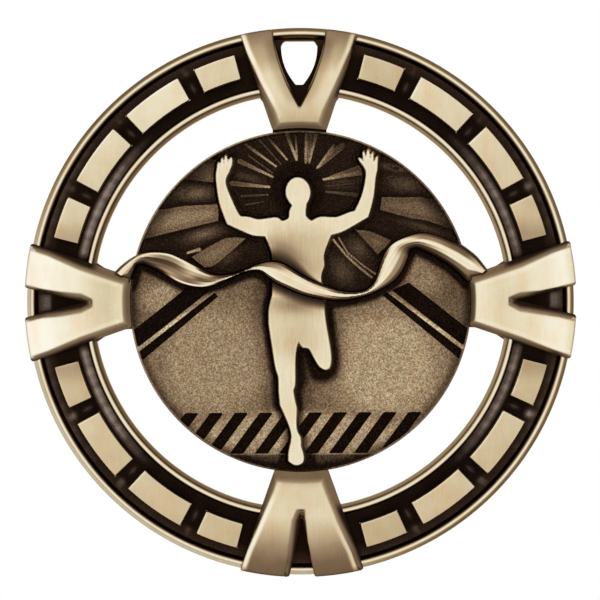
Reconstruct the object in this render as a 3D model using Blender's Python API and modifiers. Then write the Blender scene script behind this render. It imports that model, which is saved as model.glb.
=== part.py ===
"""Sports finisher medal: a ring of relief tiles and four slotted brackets round a centre disc,
which carries a runner breaking a finishing tape.

The outlines are drawn flat, x across and y up, with heights measured from the medal's back.
An empty then stands the medal upright, so its face looks along -Y and the ribbon slot is at +Z.
All sizes below are in millimetres, and MM turns them into Blender's metres.
"""

import math

import bmesh
import bpy
from mathutils import Vector

MM = 0.001

# Whole medal
MEDAL_RADIUS = 30.0
THICKNESS = 3.5
GAP = 0.03
RING_STEPS = 72
CUT_THROUGH = 1.0
MITRE_LIMIT = 0.4
SHARP_EDGE = 30.0

# Heights above the back
BASE_HEIGHT = 1.3
DISC_HEIGHT = 2.0
LAP_HEIGHT = 2.45
TILE_HEIGHT = 2.5
RIM_HEIGHT = 2.7
RUNNER_HEIGHT = 2.9
TAPE_HEIGHT = 3.4

# Ring: two rims with a channel between them
OUTER_RIM_INSIDE = 28.95
OUTER_RIM_CREST = 29.35
INNER_RIM_INSIDE = 22.7
INNER_RIM_CREST = 23.45
INNER_RIM_OUTSIDE = 23.8
RIM_ROUND = 0.25
RIM_ROUND_DROP = 0.1
CHANNEL_EDGE_DROP = 0.3
OPEN_EDGE_DROP = 0.9
BACK_CHAMFER = 0.15

# Webs between the ring and the disc, waisted at the disc and flaring towards the ring
WEB_HALF_WIDTH = 2.95
WEB_FLARE = 0.085
WEB_STEPS = 6
OPENING_OUTSIDE = 23.3
OPENING_ARC_STEPS = 18

# Ribbon slot through the channel floor at the top, an arch standing on its point
SLOT_TOP = 28.65
SLOT_BOTTOM = 23.35
SLOT_HALF_WIDTH = 2.0
SLOT_CURVE = 2.3
SLOT_CORNER = 0.4
SLOT_STEPS = 8

# Tiles in one quarter of the channel, as start and end angles from the bracket before them
TILE_INSIDE = 25.0
TILE_OUTSIDE = 27.85
TILE_ANGLES = ((14.6, 24.6), (28.4, 43.1), (46.9, 61.6), (65.4, 75.4))
TILE_BEVEL = 0.12
TILE_ARC_STEPS = 6

# Brackets. Each has its place round the ring, its half widths at the foot and at the rim, and its
# window's half width, deepest point and how strongly the window's sides curve
BRACKET_FOOT = 18.95
BRACKET_END = 29.9
BRACKET_BEVEL = 0.3
BRACKET_ARC_STEPS = 4
WINDOW_STEPS = 6
BRACKETS = {
    "bracket_top": (0, 2.95, 6.5, 2.86, 21.4, 1.65),
    "bracket_left": (90, 2.55, 6.15, 1.85, 22.5, 1.0),
    "bracket_bottom": (180, 2.75, 6.45, 1.6, 22.5, 1.0),
    "bracket_right": (270, 2.55, 6.15, 1.85, 22.5, 1.0),
}

# Centre disc with its finish-line hatching and the two edges of the road
DISC_RADIUS = 18.75
GROOVE_DEPTH = 0.3
GROOVE_RADIUS = 18.55
HATCH_COUNT = 10
HATCH_PITCH = 2.72
HATCH_WIDTH = 1.5
HATCH_TOP = -12.2
HATCH_BOTTOM = -16.7
HATCH_LEAN = 3.34
HATCH_START = -12.7
ROAD_GROOVES = (
    ((10.0, 1.15), (17.8, -4.95), (18.6, -3.3), (11.9, 2.0)),
    ((9.0, 0.6), (17.35, -6.4), (17.65, -5.35), (9.45, 1.0)),
)

# Runner, as smooth stretches that meet at corners
HEAD_CENTRE = (-0.2, 11.85)
HEAD_HALF_WIDTH = 1.38
HEAD_HALF_HEIGHT = 1.72
HEAD_TILT = 6.0
JAW_NARROWING = 0.14
NECK_OPENING = 84.0
HEAD_STEPS = 18
RUNNER_EDGE = 0.12
RUNNER_RIGHT_ARM = (
    ((0.7, 10.3), (0.65, 9.35), (1.25, 8.8)),
    ((1.25, 8.8), (2.25, 9.25), (3.9, 9.2), (5.3, 9.7), (5.95, 9.85)),
    ((5.95, 9.85), (6.75, 11.6), (7.2, 13.75), (7.0, 14.6), (6.6, 15.15)),
    ((6.6, 15.15), (6.35, 15.65), (6.7, 15.6), (6.95, 15.3)),
    ((6.95, 15.3), (6.85, 16.2), (7.05, 16.4), (7.25, 15.7)),
    ((7.25, 15.7), (7.35, 16.5), (7.6, 16.5), (7.7, 15.65)),
    ((7.7, 15.65), (7.85, 16.2), (8.05, 16.15), (8.1, 15.2)),
    ((8.1, 15.2), (8.35, 15.75), (8.55, 15.7), (8.5, 14.35)),
    ((8.5, 14.35), (8.3, 13.4), (8.1, 11.6), (7.7, 9.9), (7.45, 9.15)),
    ((7.45, 9.15), (5.9, 8.25), (4.6, 7.55), (3.4, 7.2)),
)
RUNNER_RIGHT_SIDE = (
    ((3.4, 7.2), (2.85, 5.85), (2.6, 4.9), (2.65, 3.85), (2.3, 2.6), (2.6, 0.1)),
    ((2.6, 0.1), (2.75, -2.0), (3.2, -4.8), (3.35, -6.4), (3.1, -7.4), (2.55, -7.5)),
    ((2.55, -7.5), (1.95, -7.1), (1.15, -5.7), (0.8, -5.15), (0.2, -5.1), (-0.25, -4.45)),
)
RUNNER_STANDING_LEG = (
    ((-0.25, -4.45), (-0.55, -6.0), (-0.6, -9.0), (-0.8, -9.85), (-0.45, -11.7)),
    ((-0.45, -11.7), (-0.5, -13.3), (-0.4, -14.2), (-0.05, -14.9), (0.0, -15.85)),
    ((0.0, -15.85), (0.3, -17.0), (0.1, -17.75), (-0.7, -17.95), (-1.45, -17.5)),
    ((-1.45, -17.5), (-1.4, -16.4), (-1.1, -14.9), (-1.4, -13.5), (-2.3, -11.4)),
    ((-2.3, -11.4), (-2.45, -10.0), (-2.5, -8.3), (-2.85, -7.0), (-3.5, -2.6)),
    ((-3.5, -2.6), (-3.5, -0.9), (-3.1, 0.9)),
)
RUNNER_LEFT_ARM = (
    ((-3.1, 0.9), (-3.1, 4.5), (-3.25, 5.6), (-3.85, 7.1)),
    ((-3.85, 7.1), (-5.15, 7.2), (-6.7, 7.85), (-8.0, 8.45)),
    ((-8.0, 8.45), (-8.85, 10.85), (-9.2, 13.45), (-9.1, 14.55)),
    ((-9.1, 14.55), (-9.0, 15.2), (-8.8, 15.2), (-8.7, 14.85)),
    ((-8.7, 14.85), (-8.6, 15.65), (-8.35, 15.65), (-8.3, 15.1)),
    ((-8.3, 15.1), (-8.2, 15.95), (-7.95, 15.95), (-7.9, 15.2)),
    ((-7.9, 15.2), (-7.6, 15.75), (-7.35, 15.65), (-7.4, 14.95)),
    ((-7.4, 14.95), (-7.7, 14.2), (-8.1, 13.2), (-7.75, 11.9), (-6.9, 10.0), (-6.5, 9.35)),
    ((-6.5, 9.35), (-5.5, 9.25), (-4.5, 9.0), (-2.65, 9.2), (-2.0, 8.8)),
    ((-2.0, 8.8), (-1.3, 9.05), (-1.2, 9.6), (-1.1, 10.35)),
)

# Half lap where the tape crosses the runner's waist
LAP_HALF_WIDTH = 5.0
WAIST_BOTTOM = -2.0
WAIST_TOP = 6.5

# Finishing tape: its upper edge from left to right, and its lower edge back again
TAPE_EDGE = 0.15
TAPE_UPPER = (
    ((-20.8, 2.6), (-19.7, 3.75), (-18.45, 4.7), (-17.2, 5.25), (-15.7, 5.4), (-14.05, 5.15),
     (-12.2, 4.25), (-10.2, 3.25), (-8.8, 2.95), (-7.15, 3.15), (-4.9, 4.0), (-3.4, 4.3),
     (-2.15, 4.15), (-1.15, 3.65), (0.25, 2.75), (1.65, 2.05), (3.05, 1.55), (4.4, 1.15),
     (5.8, 1.0), (6.95, 1.15), (7.75, 1.7), (8.3, 2.6), (8.6, 3.55), (9.15, 4.95), (9.85, 5.95),
     (10.7, 6.55), (12.1, 7.1), (13.45, 7.35), (14.85, 7.1), (16.25, 6.55), (17.5, 6.05),
     (18.45, 5.4), (19.45, 4.5), (20.8, 2.7)),
)
TAPE_LOWER = (
    ((18.3, 2.1), (16.55, 3.7), (14.85, 4.8), (13.6, 5.45), (12.7, 5.8), (12.0, 5.6)),
    ((12.0, 5.6), (11.65, 4.55), (11.1, 3.3), (10.25, 2.25), (9.15, 1.5), (7.9, 0.85),
     (6.65, 0.45), (5.1, 0.15), (3.45, 0.15), (1.65, 0.45), (0.25, 0.8), (-1.55, 1.55),
     (-2.9, 2.25), (-4.15, 3.2), (-5.15, 3.4), (-6.4, 3.1), (-7.8, 2.5), (-9.05, 2.0),
     (-10.55, 1.65), (-11.9, 1.75), (-13.2, 2.15), (-14.3, 2.75), (-15.55, 3.45), (-17.05, 4.15)),
    ((-17.05, 4.15), (-17.7, 4.15), (-18.05, 3.8), (-18.7, 2.1)),
)

# Plating tones as base colour and roughness
PATINATED_BRASS = ((0.055, 0.036, 0.024), 0.35)
SANDBLASTED_BRASS = ((0.28, 0.20, 0.12), 0.5)
SATIN_BRASS = ((0.72, 0.58, 0.38), 0.32)
PALE_SATIN_BRASS = ((0.84, 0.78, 0.60), 0.3)


def clear_scene():
    for existing in list(bpy.data.objects):
        bpy.data.objects.remove(existing)


def new_collection(name):
    made = bpy.data.collections.new(name)
    bpy.context.scene.collection.children.link(made)
    return made


def brass(name, colour, roughness):
    """Antique brass plating, in one tone for each kind of piece."""
    made = bpy.data.materials.new(name)
    made.use_nodes = True
    shader = made.node_tree.nodes["Principled BSDF"]
    shader.inputs["Base Color"].default_value = (*colour, 1)
    shader.inputs["Metallic"].default_value = 1.0
    shader.inputs["Roughness"].default_value = roughness
    return made


# Flat outlines, as lists of (x, y)


def polar(radius, degrees):
    """A point by its distance from the centre and its angle anticlockwise from straight up."""
    turn = math.radians(degrees)
    return -radius * math.sin(turn), radius * math.cos(turn)


def arc(radius, start, end, steps):
    return [polar(radius, start + (end - start) * i / steps) for i in range(steps + 1)]


def turned(outline, degrees):
    turn = math.radians(degrees)
    cos, sin = math.cos(turn), math.sin(turn)
    return [(x * cos - y * sin, x * sin + y * cos) for x, y in outline]


def smooth(points, steps=2):
    """A Catmull-Rom curve through the points, without its last point."""
    ends = [points[0], *points, points[-1]]
    curve = []
    for before, start, end, after in zip(ends, ends[1:], ends[2:], ends[3:]):
        for i in range(steps):
            t = i / steps
            curve.append(
                tuple(
                    b + 0.5 * t * (c - a + t * (2 * a - 5 * b + 4 * c - d + t * (3 * b - 3 * c + d - a)))
                    for a, b, c, d in zip(before, start, end, after)
                )
            )
    return curve


def joined(stretches):
    return [point for stretch in stretches for point in smooth(stretch)]


def grown(outline, distance):
    """The anticlockwise outline moved outwards by a distance, with mitred corners."""
    moved = []
    count = len(outline)
    for i, point in enumerate(outline):
        here = Vector(point)
        back = (here - Vector(outline[i - 1])).normalized()
        ahead = (Vector(outline[(i + 1) % count]) - here).normalized()
        across = Vector((back.y + ahead.y, -back.x - ahead.x)).normalized()
        miter = max(across.dot(Vector((back.y, -back.x))), MITRE_LIMIT)
        moved.append(tuple(here + across * distance / miter))
    return moved


def egg(centre, half_width, half_height, tilt, start, end, steps):
    """Part of an egg, narrower below, drawn anticlockwise between two angles from straight up."""
    points = []
    for i in range(steps + 1):
        x, y = polar(1, start + (end - start) * i / steps)
        width = half_width * (1 - JAW_NARROWING * max(-y, 0))
        points.append((x * width, y * half_height))
    return [(x + centre[0], y + centre[1]) for x, y in turned(points, tilt)]


def opening_outline():
    """The opening between the top web and the left web, clockwise from the top web's foot."""
    side = []
    for i in range(WEB_STEPS + 1):
        radius = DISC_RADIUS + (OPENING_OUTSIDE - DISC_RADIUS) * i / WEB_STEPS
        half_width = WEB_HALF_WIDTH + WEB_FLARE * (radius - DISC_RADIUS) ** 2
        side.append(math.degrees(math.asin(half_width / radius)))
    radii = [DISC_RADIUS + (OPENING_OUTSIDE - DISC_RADIUS) * i / WEB_STEPS for i in range(WEB_STEPS + 1)]
    up_the_top_web = [polar(r, a) for r, a in zip(radii, side)]
    round_the_ring = arc(OPENING_OUTSIDE, side[-1], 90 - side[-1], OPENING_ARC_STEPS)[1:-1]
    down_the_left_web = [polar(r, 90 - a) for r, a in zip(reversed(radii), reversed(side))]
    round_the_disc = arc(DISC_RADIUS, 90 - side[0], side[0], OPENING_ARC_STEPS)[1:-1]
    return up_the_top_web + round_the_ring + down_the_left_web + round_the_disc


def curved_side(half_width, bottom, top, curve, steps):
    """The right side of an arch on its point: from the point up to its full width."""
    side = []
    for i in range(steps + 1):
        down = 1 - i / steps
        side.append((half_width * (1 - down**curve), top - down * (top - bottom)))
    return side


def slot_outline():
    """The arch has a flat top, where the ribbon bears."""
    side = curved_side(
        SLOT_HALF_WIDTH, SLOT_BOTTOM, SLOT_TOP - SLOT_CORNER, SLOT_CURVE, SLOT_STEPS
    )
    right = [*side, (SLOT_HALF_WIDTH - SLOT_CORNER, SLOT_TOP)]
    left = [(-x, y) for x, y in reversed(right[1:])]
    return right + left


def tile_outline(start, end):
    inner = arc(TILE_INSIDE, start, end, TILE_ARC_STEPS)
    outer = arc(TILE_OUTSIDE, end, start, TILE_ARC_STEPS)
    return inner + outer


def bracket_outline(foot_half, end_half, window_half, window_bottom, window_curve):
    """A strap that widens from its foot by the disc to its two arms on the rim."""
    foot = math.degrees(math.asin(foot_half / BRACKET_FOOT))
    end = math.degrees(math.asin(end_half / BRACKET_END))
    window = math.degrees(math.asin(window_half / BRACKET_END))
    window_top = polar(BRACKET_END, window)[1]
    steps = WINDOW_STEPS if window_curve > 1 else 1
    side = curved_side(window_half, window_bottom, window_top, window_curve, steps)[:-1]
    outline = arc(BRACKET_FOOT, foot, -foot, BRACKET_ARC_STEPS)
    outline += arc(BRACKET_END, -end, -window, BRACKET_ARC_STEPS)
    outline += reversed(side)
    outline += [(-x, y) for x, y in side[1:]]
    outline += arc(BRACKET_END, window, end, BRACKET_ARC_STEPS)
    return outline


def runner_outline():
    head = egg(
        HEAD_CENTRE, HEAD_HALF_WIDTH, HEAD_HALF_HEIGHT, HEAD_TILT,
        180 - NECK_OPENING / 2, NECK_OPENING / 2 - 180, HEAD_STEPS,
    )
    body = joined(RUNNER_RIGHT_ARM + RUNNER_RIGHT_SIDE + RUNNER_STANDING_LEG + RUNNER_LEFT_ARM)
    return list(reversed(body)) + list(reversed(head))


def tape_outline():
    right_end = [TAPE_UPPER[-1][-1]]
    left_end = [TAPE_LOWER[-1][-1]]
    clockwise = joined(TAPE_UPPER) + right_end + joined(TAPE_LOWER) + left_end
    return list(reversed(clockwise))


def hatch_outlines():
    for i in range(HATCH_COUNT):
        left = HATCH_START + i * HATCH_PITCH
        right = left + HATCH_WIDTH
        yield [
            (left - HATCH_LEAN, HATCH_BOTTOM),
            (right - HATCH_LEAN, HATCH_BOTTOM),
            (right, HATCH_TOP),
            (left, HATCH_TOP),
        ]


def road_outlines():
    for right_side in ROAD_GROOVES:
        yield list(right_side)
        yield [(-x, y) for x, y in reversed(right_side)]


# Solids


def plate(name, outlines, low, high, home):
    """A flat plate between two heights, with an inner outline for each hole through it."""
    curve = bpy.data.curves.new(name, "CURVE")
    curve.dimensions = "2D"
    curve.fill_mode = "BOTH"
    curve.extrude = (high - low) * MM / 2
    for outline in outlines:
        spline = curve.splines.new("POLY")
        spline.points.add(len(outline) - 1)
        for point, (x, y) in zip(spline.points, outline):
            point.co = (x * MM, y * MM, 0, 1)
        spline.use_cyclic_u = True
    drawn = bpy.data.objects.new(name + "_curve", curve)
    home.objects.link(drawn)
    bpy.context.view_layer.update()
    evaluated = drawn.evaluated_get(bpy.context.evaluated_depsgraph_get())
    mesh = bpy.data.meshes.new_from_object(evaluated)
    bpy.data.objects.remove(drawn)
    shape = bmesh.new()
    shape.from_mesh(mesh)
    bmesh.ops.remove_doubles(shape, verts=shape.verts, dist=1e-6)
    bmesh.ops.recalc_face_normals(shape, faces=shape.faces)
    shape.to_mesh(mesh)
    shape.free()
    made = bpy.data.objects.new(name, mesh)
    made.location.z = (low + high) * MM / 2
    home.objects.link(made)
    return made


def bevel_face(solid, width):
    """Chamfers the edges round the solid's front face."""
    shape = bmesh.new()
    shape.from_mesh(solid.data)
    top = max(vertex.co.z for vertex in shape.verts)
    flat = {face for face in shape.faces if all(top - v.co.z < 1e-7 for v in face.verts)}
    edges = [edge for edge in shape.edges if len(flat.intersection(edge.link_faces)) == 1]
    bmesh.ops.bevel(
        shape, geom=edges, offset=width * MM, segments=1, affect="EDGES", clamp_overlap=True
    )
    shape.to_mesh(solid.data)
    shape.free()


def turned_ring(name, profiles, home):
    """Closed profiles of (radius, height), each running down its outer side, turned about the axis."""
    shape = bmesh.new()
    for profile in profiles:
        vertices = [shape.verts.new((radius * MM, 0, height * MM)) for radius, height in profile]
        for start, end in zip(vertices, vertices[1:] + vertices[:1]):
            shape.edges.new((start, end))
    mesh = bpy.data.meshes.new(name)
    shape.to_mesh(mesh)
    shape.free()
    made = bpy.data.objects.new(name, mesh)
    home.objects.link(made)
    screw = made.modifiers.new("turn", "SCREW")
    screw.steps = RING_STEPS
    screw.render_steps = RING_STEPS
    screw.use_merge_vertices = True
    screw.merge_threshold = 1e-6
    return made


def outer_rim_profile():
    return [
        (OUTER_RIM_CREST + RIM_ROUND, RIM_HEIGHT - RIM_ROUND_DROP),
        (MEDAL_RADIUS, RIM_HEIGHT - OPEN_EDGE_DROP),
        (MEDAL_RADIUS, BACK_CHAMFER),
        (MEDAL_RADIUS - BACK_CHAMFER, 0),
        (OUTER_RIM_INSIDE, 0),
        (OUTER_RIM_INSIDE, RIM_HEIGHT - CHANNEL_EDGE_DROP),
        (OUTER_RIM_CREST - RIM_ROUND, RIM_HEIGHT - RIM_ROUND_DROP),
        (OUTER_RIM_CREST, RIM_HEIGHT),
    ]


def inner_rim_profile():
    return [
        (INNER_RIM_CREST + RIM_ROUND, RIM_HEIGHT - RIM_ROUND_DROP),
        (INNER_RIM_OUTSIDE, RIM_HEIGHT - CHANNEL_EDGE_DROP),
        (INNER_RIM_OUTSIDE, 0),
        (INNER_RIM_INSIDE + BACK_CHAMFER, 0),
        (INNER_RIM_INSIDE, BACK_CHAMFER),
        (INNER_RIM_INSIDE, RIM_HEIGHT - OPEN_EDGE_DROP),
        (INNER_RIM_CREST - RIM_ROUND, RIM_HEIGHT - RIM_ROUND_DROP),
        (INNER_RIM_CREST, RIM_HEIGHT),
    ]


def clearance_profile(inside, outside):
    top = RIM_HEIGHT + GAP
    bottom = -CUT_THROUGH
    return [
        (outside + GAP, top),
        (outside + GAP, bottom),
        (inside - GAP, bottom),
        (inside - GAP, top),
    ]


def boolean(solid, other, operation):
    change = solid.modifiers.new(f"{operation.lower()} {other.name}", "BOOLEAN")
    change.operation = operation
    change.solver = "EXACT"
    change.object = other


def hide(cutter):
    cutter.hide_render = True
    cutter.display_type = "WIRE"


def finish(piece, material, stand):
    piece.data.materials.clear()
    piece.data.materials.append(material)
    piece.data.shade_smooth()
    piece.data.set_sharp_from_angle(angle=math.radians(SHARP_EDGE))
    piece.parent = stand


def make_ring_frame(parts, cutters):
    """The channelled ring, its webs and the plate behind the disc: everything else sits on it."""
    plate_edge = (OUTER_RIM_INSIDE + MEDAL_RADIUS) / 2
    openings = [turned(opening_outline(), quarter * 90) for quarter in range(4)]
    outer_edge = arc(plate_edge, 0, 360, RING_STEPS)[:-1]
    frame = plate("ring_frame", [outer_edge, *openings, slot_outline()], 0, BASE_HEIGHT, parts)
    rims = turned_ring("rims", [outer_rim_profile(), inner_rim_profile()], cutters)
    boolean(frame, rims, "UNION")
    return frame, rims


def make_tiles(parts):
    tiles = []
    for quarter, name in enumerate(("upper_left", "lower_left", "lower_right", "upper_right")):
        for i, (start, end) in enumerate(TILE_ANGLES):
            outline = turned(tile_outline(start, end), quarter * 90)
            tile = plate(f"tile_{name}_{i + 1}", [outline], BASE_HEIGHT + GAP, TILE_HEIGHT, parts)
            bevel_face(tile, TILE_BEVEL)
            tiles.append(tile)
    return tiles


def make_brackets(parts, cutters):
    """Straps that lie over both rims, with a plug below each one that fills the channel."""
    clearance = turned_ring(
        "rim_clearance",
        [
            clearance_profile(OUTER_RIM_INSIDE, MEDAL_RADIUS),
            clearance_profile(INNER_RIM_INSIDE, INNER_RIM_OUTSIDE),
        ],
        cutters,
    )
    brackets = []
    for name, (degrees, *sizes) in BRACKETS.items():
        outline = turned(bracket_outline(*sizes), degrees)
        bracket = plate(name, [outline], BASE_HEIGHT + GAP, THICKNESS, parts)
        bevel_face(bracket, BRACKET_BEVEL)
        boolean(bracket, clearance, "DIFFERENCE")
        brackets.append(bracket)
    return brackets, clearance


def make_disc(parts, cutters):
    """The centre disc, with grooves for the hatching and for the road's two edges."""
    edge = arc(DISC_RADIUS, 0, 360, RING_STEPS)[:-1]
    disc = plate("centre_disc", [edge], BASE_HEIGHT + GAP, DISC_HEIGHT, parts)
    floor = DISC_HEIGHT - GROOVE_DEPTH
    limit_edge = arc(GROOVE_RADIUS, 0, 360, RING_STEPS)[:-1]
    limit = plate("groove_limit", [limit_edge], floor - CUT_THROUGH, THICKNESS + CUT_THROUGH, cutters)
    grooves = plate(
        "groove_cutter", [*hatch_outlines(), *road_outlines()], floor, THICKNESS, cutters
    )
    boolean(grooves, limit, "INTERSECT")
    boolean(disc, grooves, "DIFFERENCE")
    return disc, [limit, grooves]


def make_runner_and_tape(parts, cutters):
    """The runner and the tape cross with a half lap at the waist."""
    runner = plate("runner", [runner_outline()], DISC_HEIGHT + GAP, RUNNER_HEIGHT, parts)
    tape = plate("finish_tape", [tape_outline()], DISC_HEIGHT + GAP, TAPE_HEIGHT, parts)
    bevel_face(runner, RUNNER_EDGE)
    bevel_face(tape, TAPE_EDGE)
    crossing = [(x, y) for x, y in tape_outline() if abs(x) < LAP_HALF_WIDTH]
    waist = [(x, y) for x, y in runner_outline() if WAIST_BOTTOM < y < WAIST_TOP]
    tape_room = plate("tape_room", [grown(crossing, GAP)], LAP_HEIGHT, THICKNESS + CUT_THROUGH, cutters)
    runner_room = plate("runner_room", [grown(waist, GAP)], 0, LAP_HEIGHT + GAP, cutters)
    bracket_room = plate(
        "bracket_room",
        [
            grown(turned(bracket_outline(*sizes), degrees), GAP)
            for degrees, *sizes in (BRACKETS["bracket_left"], BRACKETS["bracket_right"])
        ],
        0,
        THICKNESS + CUT_THROUGH,
        cutters,
    )
    boolean(runner, tape_room, "DIFFERENCE")
    boolean(tape, runner_room, "DIFFERENCE")
    boolean(tape, bracket_room, "DIFFERENCE")
    return runner, tape, [tape_room, runner_room, bracket_room]


def build_medal():
    clear_scene()
    parts = new_collection("sports_finisher_medal")
    cutters = new_collection("cutters")
    stand = bpy.data.objects.new("medal_stand", None)
    parts.objects.link(stand)
    stand.rotation_euler.x = math.radians(90)
    stand.location.y = THICKNESS * MM / 2

    frame, rims = make_ring_frame(parts, cutters)
    tiles = make_tiles(parts)
    brackets, clearance = make_brackets(parts, cutters)
    disc, disc_cutters = make_disc(parts, cutters)
    runner, tape, crossing_cutters = make_runner_and_tape(parts, cutters)

    dark = brass("patinated_brass", *PATINATED_BRASS)
    road = brass("sandblasted_brass", *SANDBLASTED_BRASS)
    satin = brass("satin_brass", *SATIN_BRASS)
    pale = brass("pale_satin_brass", *PALE_SATIN_BRASS)

    finish(frame, dark, stand)
    finish(disc, road, stand)
    finish(runner, satin, stand)
    finish(tape, pale, stand)
    for tile in tiles:
        finish(tile, satin, stand)
    for bracket in brackets:
        finish(bracket, pale, stand)
    for cutter in (rims, clearance, *disc_cutters, *crossing_cutters):
        cutter.parent = stand
        hide(cutter)
    bpy.context.view_layer.update()


build_medal()
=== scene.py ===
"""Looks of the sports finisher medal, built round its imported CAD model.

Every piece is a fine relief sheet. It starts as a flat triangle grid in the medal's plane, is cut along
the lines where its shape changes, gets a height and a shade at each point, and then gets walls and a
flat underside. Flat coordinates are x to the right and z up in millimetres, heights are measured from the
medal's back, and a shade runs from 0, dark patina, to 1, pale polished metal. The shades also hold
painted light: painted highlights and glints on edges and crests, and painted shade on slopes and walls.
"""

import math

import bpy
import numpy as np
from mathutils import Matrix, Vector
from mathutils.geometry import delaunay_2d_cdt


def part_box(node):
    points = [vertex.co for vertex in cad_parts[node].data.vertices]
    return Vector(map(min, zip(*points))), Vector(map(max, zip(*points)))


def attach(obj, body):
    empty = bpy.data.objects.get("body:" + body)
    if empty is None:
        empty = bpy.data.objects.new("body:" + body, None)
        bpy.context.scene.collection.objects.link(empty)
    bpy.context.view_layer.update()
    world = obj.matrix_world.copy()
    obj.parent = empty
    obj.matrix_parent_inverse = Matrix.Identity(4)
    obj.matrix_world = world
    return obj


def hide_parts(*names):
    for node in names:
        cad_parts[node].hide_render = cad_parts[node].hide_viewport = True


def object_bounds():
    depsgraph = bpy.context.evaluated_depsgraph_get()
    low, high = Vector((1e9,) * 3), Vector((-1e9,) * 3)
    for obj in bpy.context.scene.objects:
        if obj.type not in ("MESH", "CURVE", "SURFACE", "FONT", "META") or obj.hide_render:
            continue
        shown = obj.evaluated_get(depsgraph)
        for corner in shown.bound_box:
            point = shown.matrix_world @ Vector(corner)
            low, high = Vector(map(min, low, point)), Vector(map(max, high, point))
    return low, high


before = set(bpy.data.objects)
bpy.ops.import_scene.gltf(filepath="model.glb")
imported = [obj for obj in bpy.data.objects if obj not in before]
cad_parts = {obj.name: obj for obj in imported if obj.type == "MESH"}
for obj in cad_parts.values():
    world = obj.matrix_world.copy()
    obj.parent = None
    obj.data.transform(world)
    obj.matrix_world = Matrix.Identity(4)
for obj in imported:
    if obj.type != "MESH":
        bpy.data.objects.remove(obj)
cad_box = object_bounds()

MM = 0.001
BACK = cad_box[1].y / MM
# How many points are measured at once, which limits the memory used
CHUNK = 1500
# Two heights or two directions closer than this count as the same
SAME = 0.01


# What the CAD says, in millimetres


def cad_mesh(node):
    """Unique points (x, z, height) of a node and its triangles."""
    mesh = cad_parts[node].data
    mesh.calc_loop_triangles()
    where = np.empty(len(mesh.vertices) * 3)
    mesh.vertices.foreach_get("co", where)
    where = where.reshape(-1, 3) / MM
    corners = np.empty(len(mesh.loop_triangles) * 3, int)
    mesh.loop_triangles.foreach_get("vertices", corners)
    points = np.stack([where[:, 0], where[:, 2], BACK - where[:, 1]], axis=1)
    points, index = np.unique(np.round(points, 3), axis=0, return_inverse=True)
    return points, index.reshape(-1)[corners].reshape(-1, 3)


def height_of(node):
    """The height of a node's highest point above the medal's back."""
    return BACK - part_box(node)[0].y / MM


def foot_of(node):
    """The height of a node's lowest point above the medal's back."""
    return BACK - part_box(node)[1].y / MM


def cad_outline(node, height):
    """Closed loops round the node's flat faces at one height."""
    points, triangles = cad_mesh(node)
    flat = triangles[(abs(points[triangles][:, :, 2] - height) < SAME).all(axis=1)]
    edges = {(a, b) for t in flat for a, b in ((t[0], t[1]), (t[1], t[2]), (t[2], t[0]))}
    after = {a: b for a, b in edges if (b, a) not in edges}
    loops = []
    while after:
        first, here = after.popitem()
        loop = [first]
        while here != first:
            loop.append(here)
            here = after.pop(here)
        loops.append(points[loop][:, :2])
    return loops


def cad_radii(node, height):
    """The distances from the medal's centre at which a node has points at one height."""
    points = cad_mesh(node)[0]
    radii = np.hypot(points[:, 0], points[:, 1])[abs(points[:, 2] - height) < SAME]
    return np.unique(np.round(radii * 20)) / 20


# Lines and distances


def direction(turn):
    """The flat direction at an angle in degrees."""
    return np.array([math.cos(math.radians(turn)), math.sin(math.radians(turn))])


def cross(a, b):
    """The cross product of each pair of rows."""
    return a[:, 0] * b[:, 1] - a[:, 1] * b[:, 0]


def smoothed(loop, rounds=2, corner=38):
    """A finer loop through the same points, which keeps its sharp corners."""
    for _ in range(rounds):
        last, following = np.roll(loop, 1, axis=0), np.roll(loop, -1, axis=0)
        back, ahead = loop - last, following - loop
        turn = np.degrees(abs(np.arctan2(cross(back, ahead), (back * ahead).sum(axis=1))))
        sharp = (turn > corner)[:, None]
        next_sharp = np.roll(sharp, -1, axis=0)
        before = np.where(sharp, 2 * loop - following, last)
        beyond = np.where(next_sharp, 2 * following - loop, np.roll(loop, -2, axis=0))
        middle = (9 * (loop + following) - before - beyond) / 16
        loop = np.stack([loop, middle], axis=1).reshape(-1, 2)
    return loop


def smooth_outline(node, height):
    """A node's outline at one height, with its round stretches made finer."""
    return [smoothed(loop) for loop in cad_outline(node, height)]


def segments(loops):
    """The start and the end of every segment round closed loops."""
    return np.concatenate(loops), np.concatenate([np.roll(loop, -1, axis=0) for loop in loops])


def curve_through(rows, steps):
    """A Catmull-Rom curve through rows of numbers."""
    rows = np.asarray(rows, float)
    ends = np.concatenate([rows[:1], rows, rows[-1:]])
    t = np.arange(steps)[:, None] / steps
    parts = []
    for a, b, c, d in zip(ends, ends[1:], ends[2:], ends[3:]):
        cubic = 3 * b - 3 * c + d - a
        parts.append(b + 0.5 * t * (c - a + t * (2 * a - 5 * b + 4 * c - d + t * cubic)))
    return np.concatenate([*parts, rows[-1:]])


def nearest(points, starts, ends):
    """For each point, its distance to the nearest segment, that segment, and how far along it."""
    along = ends - starts
    length = np.maximum((along**2).sum(axis=1), 1e-12)
    found = []
    for part in range(0, len(points), CHUNK):
        x = points[part : part + CHUNK, 0, None] - starts[:, 0]
        y = points[part : part + CHUNK, 1, None] - starts[:, 1]
        share = np.clip((x * along[:, 0] + y * along[:, 1]) / length, 0, 1)
        gap = np.hypot(x - share * along[:, 0], y - share * along[:, 1])
        best = gap.argmin(axis=1)
        rows = np.arange(len(best))
        found.append(np.stack([gap[rows, best], best, share[rows, best]]))
    return np.concatenate(found, axis=1)


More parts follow.
